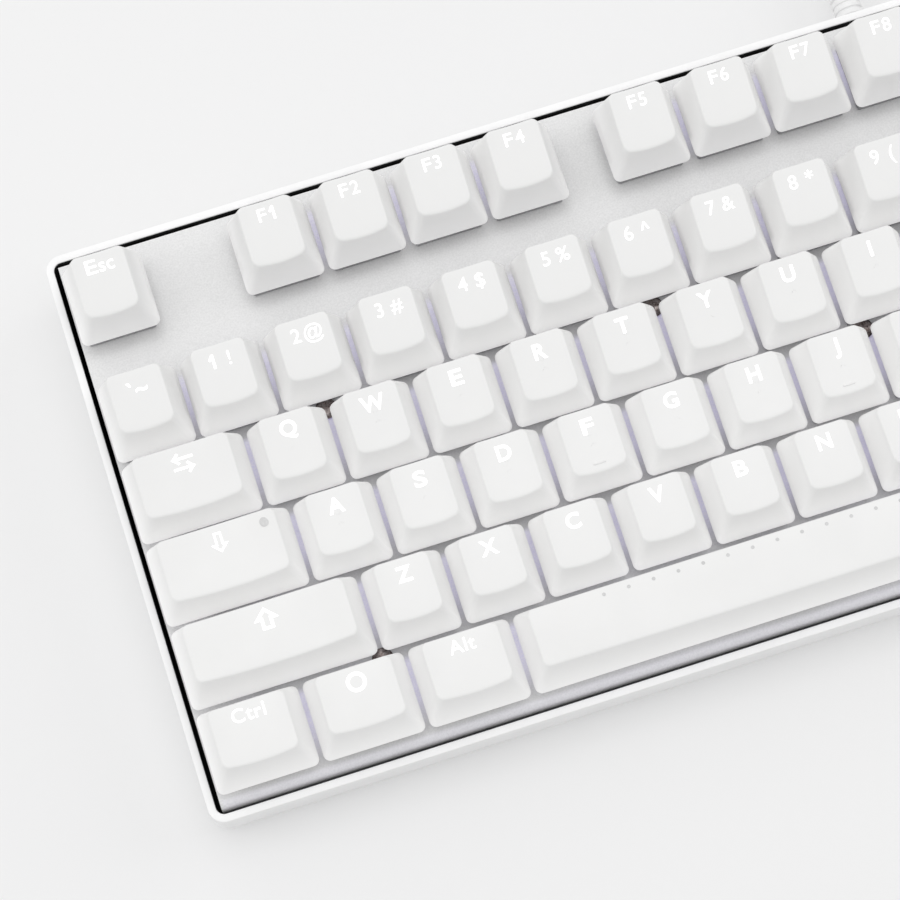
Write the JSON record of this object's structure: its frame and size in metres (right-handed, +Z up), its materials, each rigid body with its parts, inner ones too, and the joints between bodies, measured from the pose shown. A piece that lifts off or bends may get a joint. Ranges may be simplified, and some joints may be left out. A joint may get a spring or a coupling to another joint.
{
  "type": "mechanical keyboard",
  "caption": "Compact wired mechanical keyboard without a number pad: raised white keycaps on a satin metal plate in a shallow white tray, with travelling keys and fold-out feet.",
  "frame": {"origin": "on the desk, under the middle of the keyboard without its lead", "axes": "+X to the right along the rows, +Y towards the rear edge, +Z up"},
  "size_m": [0.3536, 0.2406, 0.0429],
  "materials": {
    "tray_white": "fine-grained satin white",
    "plate_satin": "satin blasted, clear anodised",
    "keycap_white": "fine matt texture, semi-translucent legends",
    "switch_dark": "moulded nylon",
    "board_green": "solder mask",
    "wire_steel": "drawn spring wire",
    "screw_steel": "zinc plated",
    "foot_rubber": "matt",
    "lead_white": "satin flexible sheath",
    "moulding_white": "satin moulded",
    "tie_strap": "hook-and-loop strap",
    "plug_metal": "nickel plated"
  },
  "bodies": {
    "tray": {"bottom_case": "tray_white", "circuit_board": "board_green", "lead_coil": "lead_white", "lead_strain_relief": "moulding_white", "lead_tail": "lead_white", "lead_tie": "tie_strap", "lead_tube": "lead_white", "plate_screw_1": "screw_steel", "plate_screw_2": "screw_steel", "plate_screw_3": "screw_steel", "plate_screw_4": "screw_steel", "plate_screw_5": "screw_steel", "plate_screw_6": "screw_steel", "plug_grip": "moulding_white", "plug_shell": "plug_metal", "rubber_foot_front_left": "foot_rubber", "rubber_foot_front_right": "foot_rubber", "rubber_foot_rear_left": "foot_rubber", "rubber_foot_rear_right": "foot_rubber", "switch_housings": "switch_dark", "switch_plate": "plate_satin"},
    "key_backquote": {"key_backquote": "keycap_white"},
    "key_backslash": {"key_backslash": "keycap_white"},
    "key_backspace": {"key_backspace": "keycap_white"},
    "key_caps_lock": {"key_caps_lock": "keycap_white"},
    "key_down": {"key_down": "keycap_white"},
    "key_enter": {"key_enter": "keycap_white"},
    "key_escape": {"key_escape": "keycap_white"},
    "key_left": {"key_left": "keycap_white"},
    "key_left_alt": {"key_left_alt": "keycap_white"},
    "key_left_control": {"key_left_control": "keycap_white"},
    "key_left_shift": {"key_left_shift": "keycap_white"},
    "key_left_super": {"key_left_super": "keycap_white"},
    "key_menu": {"key_menu": "keycap_white"},
    "key_right": {"key_right": "keycap_white"},
    "key_right_alt": {"key_right_alt": "keycap_white"},
    "key_right_control": {"key_right_control": "keycap_white"},
    "key_right_shift": {"key_right_shift": "keycap_white"},
    "key_right_super": {"key_right_super": "keycap_white"},
    "key_space": {"key_space": "keycap_white"},
    "key_tab": {"key_tab": "keycap_white"},
    "key_up": {"key_up": "keycap_white"},
    "keys_f1_to_f4": {"keys_f1_to_f4": "keycap_white"},
    "keys_f5_to_f8": {"keys_f5_to_f8": "keycap_white"},
    "keys_f9_to_f12": {"keys_f9_to_f12": "keycap_white"},
    "keys_home": {"keys_home": "keycap_white"},
    "keys_lower": {"keys_lower": "keycap_white"},
    "keys_navigation": {"keys_navigation": "keycap_white"},
    "keys_number_left": {"keys_number_left": "keycap_white"},
    "keys_number_right": {"keys_number_right": "keycap_white"},
    "keys_system": {"keys_system": "keycap_white"},
    "keys_upper_left": {"keys_upper_left": "keycap_white"},
    "keys_upper_right": {"keys_upper_right": "keycap_white"},
    "wire_backspace": {"wire_backspace": "wire_steel"},
    "wire_enter": {"wire_enter": "wire_steel"},
    "wire_left_shift": {"wire_left_shift": "wire_steel"},
    "wire_right_shift": {"wire_right_shift": "wire_steel"},
    "wire_space": {"wire_space": "wire_steel"},
    "flip_foot_left": {"flip_foot_left": "tray_white"},
    "flip_foot_right": {"flip_foot_right": "tray_white"}
  },
  "joints": [
    {"name": "key_backquote_press", "type": "slide", "parent": "tray", "child": "key_backquote", "axis": [0, 0.0872, -0.9962], "range_m": [0, 0.004], "stiffness_N_per_m": 80, "springref_m": -0.004},
    {"name": "key_backslash_press", "type": "slide", "parent": "tray", "child": "key_backslash", "axis": [0, 0.0872, -0.9962], "range_m": [0, 0.004], "stiffness_N_per_m": 80, "springref_m": -0.004},
    {"name": "key_backspace_press", "type": "slide", "parent": "tray", "child": "key_backspace", "axis": [0, 0.0872, -0.9962], "range_m": [0, 0.004], "stiffness_N_per_m": 80, "springref_m": -0.004},
    {"name": "key_caps_lock_press", "type": "slide", "parent": "tray", "child": "key_caps_lock", "axis": [0, 0.0872, -0.9962], "range_m": [0, 0.004], "stiffness_N_per_m": 80, "springref_m": -0.004},
    {"name": "key_down_press", "type": "slide", "parent": "tray", "child": "key_down", "axis": [0, 0.0872, -0.9962], "range_m": [0, 0.004], "stiffness_N_per_m": 80, "springref_m": -0.004},
    {"name": "key_enter_press", "type": "slide", "parent": "tray", "child": "key_enter", "axis": [0, 0.0872, -0.9962], "range_m": [0, 0.004], "stiffness_N_per_m": 80, "springref_m": -0.004},
    {"name": "key_escape_press", "type": "slide", "parent": "tray", "child": "key_escape", "axis": [0, 0.0872, -0.9962], "range_m": [0, 0.004], "stiffness_N_per_m": 80, "springref_m": -0.004},
    {"name": "key_left_press", "type": "slide", "parent": "tray", "child": "key_left", "axis": [0, 0.0872, -0.9962], "range_m": [0, 0.004], "stiffness_N_per_m": 80, "springref_m": -0.004},
    {"name": "key_left_alt_press", "type": "slide", "parent": "tray", "child": "key_left_alt", "axis": [0, 0.0872, -0.9962], "range_m": [0, 0.004], "stiffness_N_per_m": 80, "springref_m": -0.004},
    {"name": "key_left_control_press", "type": "slide", "parent": "tray", "child": "key_left_control", "axis": [0, 0.0872, -0.9962], "range_m": [0, 0.004], "stiffness_N_per_m": 80, "springref_m": -0.004},
    {"name": "key_left_shift_press", "type": "slide", "parent": "tray", "child": "key_left_shift", "axis": [0, 0.0872, -0.9962], "range_m": [0, 0.004], "stiffness_N_per_m": 80, "springref_m": -0.004},
    {"name": "key_left_super_press", "type": "slide", "parent": "tray", "child": "key_left_super", "axis": [0, 0.0872, -0.9962], "range_m": [0, 0.004], "stiffness_N_per_m": 80, "springref_m": -0.004},
    {"name": "key_menu_press", "type": "slide", "parent": "tray", "child": "key_menu", "axis": [0, 0.0872, -0.9962], "range_m": [0, 0.004], "stiffness_N_per_m": 80, "springref_m": -0.004},
    {"name": "key_right_press", "type": "slide", "parent": "tray", "child": "key_right", "axis": [0, 0.0872, -0.9962], "range_m": [0, 0.004], "stiffness_N_per_m": 80, "springref_m": -0.004},
    {"name": "key_right_alt_press", "type": "slide", "parent": "tray", "child": "key_right_alt", "axis": [0, 0.0872, -0.9962], "range_m": [0, 0.004], "stiffness_N_per_m": 80, "springref_m": -0.004},
    {"name": "key_right_control_press", "type": "slide", "parent": "tray", "child": "key_right_control", "axis": [0, 0.0872, -0.9962], "range_m": [0, 0.004], "stiffness_N_per_m": 80, "springref_m": -0.004},
    {"name": "key_right_shift_press", "type": "slide", "parent": "tray", "child": "key_right_shift", "axis": [0, 0.0872, -0.9962], "range_m": [0, 0.004], "stiffness_N_per_m": 80, "springref_m": -0.004},
    {"name": "key_right_super_press", "type": "slide", "parent": "tray", "child": "key_right_super", "axis": [0, 0.0872, -0.9962], "range_m": [0, 0.004], "stiffness_N_per_m": 80, "springref_m": -0.004},
    {"name": "key_space_press", "type": "slide", "parent": "tray", "child": "key_space", "axis": [0, 0.0872, -0.9962], "range_m": [0, 0.004], "stiffness_N_per_m": 80, "springref_m": -0.004},
    {"name": "key_tab_press", "type": "slide", "parent": "tray", "child": "key_tab", "axis": [0, 0.0872, -0.9962], "range_m": [0, 0.004], "stiffness_N_per_m": 80, "springref_m": -0.004},
    {"name": "key_up_press", "type": "slide", "parent": "tray", "child": "key_up", "axis": [0, 0.0872, -0.9962], "range_m": [0, 0.004], "stiffness_N_per_m": 80, "springref_m": -0.004},
    {"name": "keys_f1_to_f4_press", "type": "slide", "parent": "tray", "child": "keys_f1_to_f4", "axis": [0, 0.0872, -0.9962], "range_m": [0, 0.004], "stiffness_N_per_m": 320, "springref_m": -0.004},
    {"name": "keys_f5_to_f8_press", "type": "slide", "parent": "tray", "child": "keys_f5_to_f8", "axis": [0, 0.0872, -0.9962], "range_m": [0, 0.004], "stiffness_N_per_m": 320, "springref_m": -0.004},
    {"name": "keys_f9_to_f12_press", "type": "slide", "parent": "tray", "child": "keys_f9_to_f12", "axis": [0, 0.0872, -0.9962], "range_m": [0, 0.004], "stiffness_N_per_m": 320, "springref_m": -0.004},
    {"name": "keys_home_press", "type": "slide", "parent": "tray", "child": "keys_home", "axis": [0, 0.0872, -0.9962], "range_m": [0, 0.004], "stiffness_N_per_m": 880, "springref_m": -0.004},
    {"name": "keys_lower_press", "type": "slide", "parent": "tray", "child": "keys_lower", "axis": [0, 0.0872, -0.9962], "range_m": [0, 0.004], "stiffness_N_per_m": 800, "springref_m": -0.004},
    {"name": "keys_navigation_press", "type": "slide", "parent": "tray", "child": "keys_navigation", "axis": [0, 0.0872, -0.9962], "range_m": [0, 0.004], "stiffness_N_per_m": 480, "springref_m": -0.004},
    {"name": "keys_number_left_press", "type": "slide", "parent": "tray", "child": "keys_number_left", "axis": [0, 0.0872, -0.9962], "range_m": [0, 0.004], "stiffness_N_per_m": 480, "springref_m": -0.004},
    {"name": "keys_number_right_press", "type": "slide", "parent": "tray", "child": "keys_number_right", "axis": [0, 0.0872, -0.9962], "range_m": [0, 0.004], "stiffness_N_per_m": 480, "springref_m": -0.004},
    {"name": "keys_system_press", "type": "slide", "parent": "tray", "child": "keys_system", "axis": [0, 0.0872, -0.9962], "range_m": [0, 0.004], "stiffness_N_per_m": 240, "springref_m": -0.004},
    {"name": "keys_upper_left_press", "type": "slide", "parent": "tray", "child": "keys_upper_left", "axis": [0, 0.0872, -0.9962], "range_m": [0, 0.004], "stiffness_N_per_m": 400, "springref_m": -0.004},
    {"name": "keys_upper_right_press", "type": "slide", "parent": "tray", "child": "keys_upper_right", "axis": [0, 0.0872, -0.9962], "range_m": [0, 0.004], "stiffness_N_per_m": 560, "springref_m": -0.004},
    {"name": "wire_backspace_turn", "type": "hinge", "parent": "tray", "child": "wire_backspace", "pos_m": [0.09287, 0.01458, 0.01775], "axis": [1, 0, 0], "range_deg": [-23, 0]},
    {"name": "wire_enter_turn", "type": "hinge", "parent": "tray", "child": "wire_enter", "pos_m": [0.09049, -0.02338, 0.01443], "axis": [1, 0, 0], "range_deg": [-23, 0]},
    {"name": "wire_left_shift_turn", "type": "hinge", "parent": "tray", "child": "wire_left_shift", "pos_m": [-0.1524, -0.04235, 0.01277], "axis": [1, 0, 0], "range_deg": [-23, 0]},
    {"name": "wire_right_shift_turn", "type": "hinge", "parent": "tray", "child": "wire_right_shift", "pos_m": [0.08572, -0.04235, 0.01277], "axis": [1, 0, 0], "range_deg": [-23, 0]},
    {"name": "wire_space_turn", "type": "hinge", "parent": "tray", "child": "wire_space", "pos_m": [-0.04286, -0.06133, 0.01111], "axis": [1, 0, 0], "range_deg": [-23, 0]},
    {"name": "flip_foot_left_hinge", "type": "hinge", "parent": "tray", "child": "flip_foot_left", "pos_m": [-0.118, 0.044, 0.0043], "axis": [-1, 0, 0], "range_deg": [0, 90]},
    {"name": "flip_foot_right_hinge", "type": "hinge", "parent": "tray", "child": "flip_foot_right", "pos_m": [0.118, 0.044, 0.0043], "axis": [-1, 0, 0], "range_deg": [0, 90]}
  ],
  "couplings": [
    {"joint": "wire_backspace_turn", "follows": "key_backspace_press", "rad_per_m": -98.6},
    {"joint": "wire_enter_turn", "follows": "key_enter_press", "rad_per_m": -98.6},
    {"joint": "wire_left_shift_turn", "follows": "key_left_shift_press", "rad_per_m": -98.6},
    {"joint": "wire_right_shift_turn", "follows": "key_right_shift_press", "rad_per_m": -98.6},
    {"joint": "wire_space_turn", "follows": "key_space_press", "rad_per_m": -98.6}
  ]
}
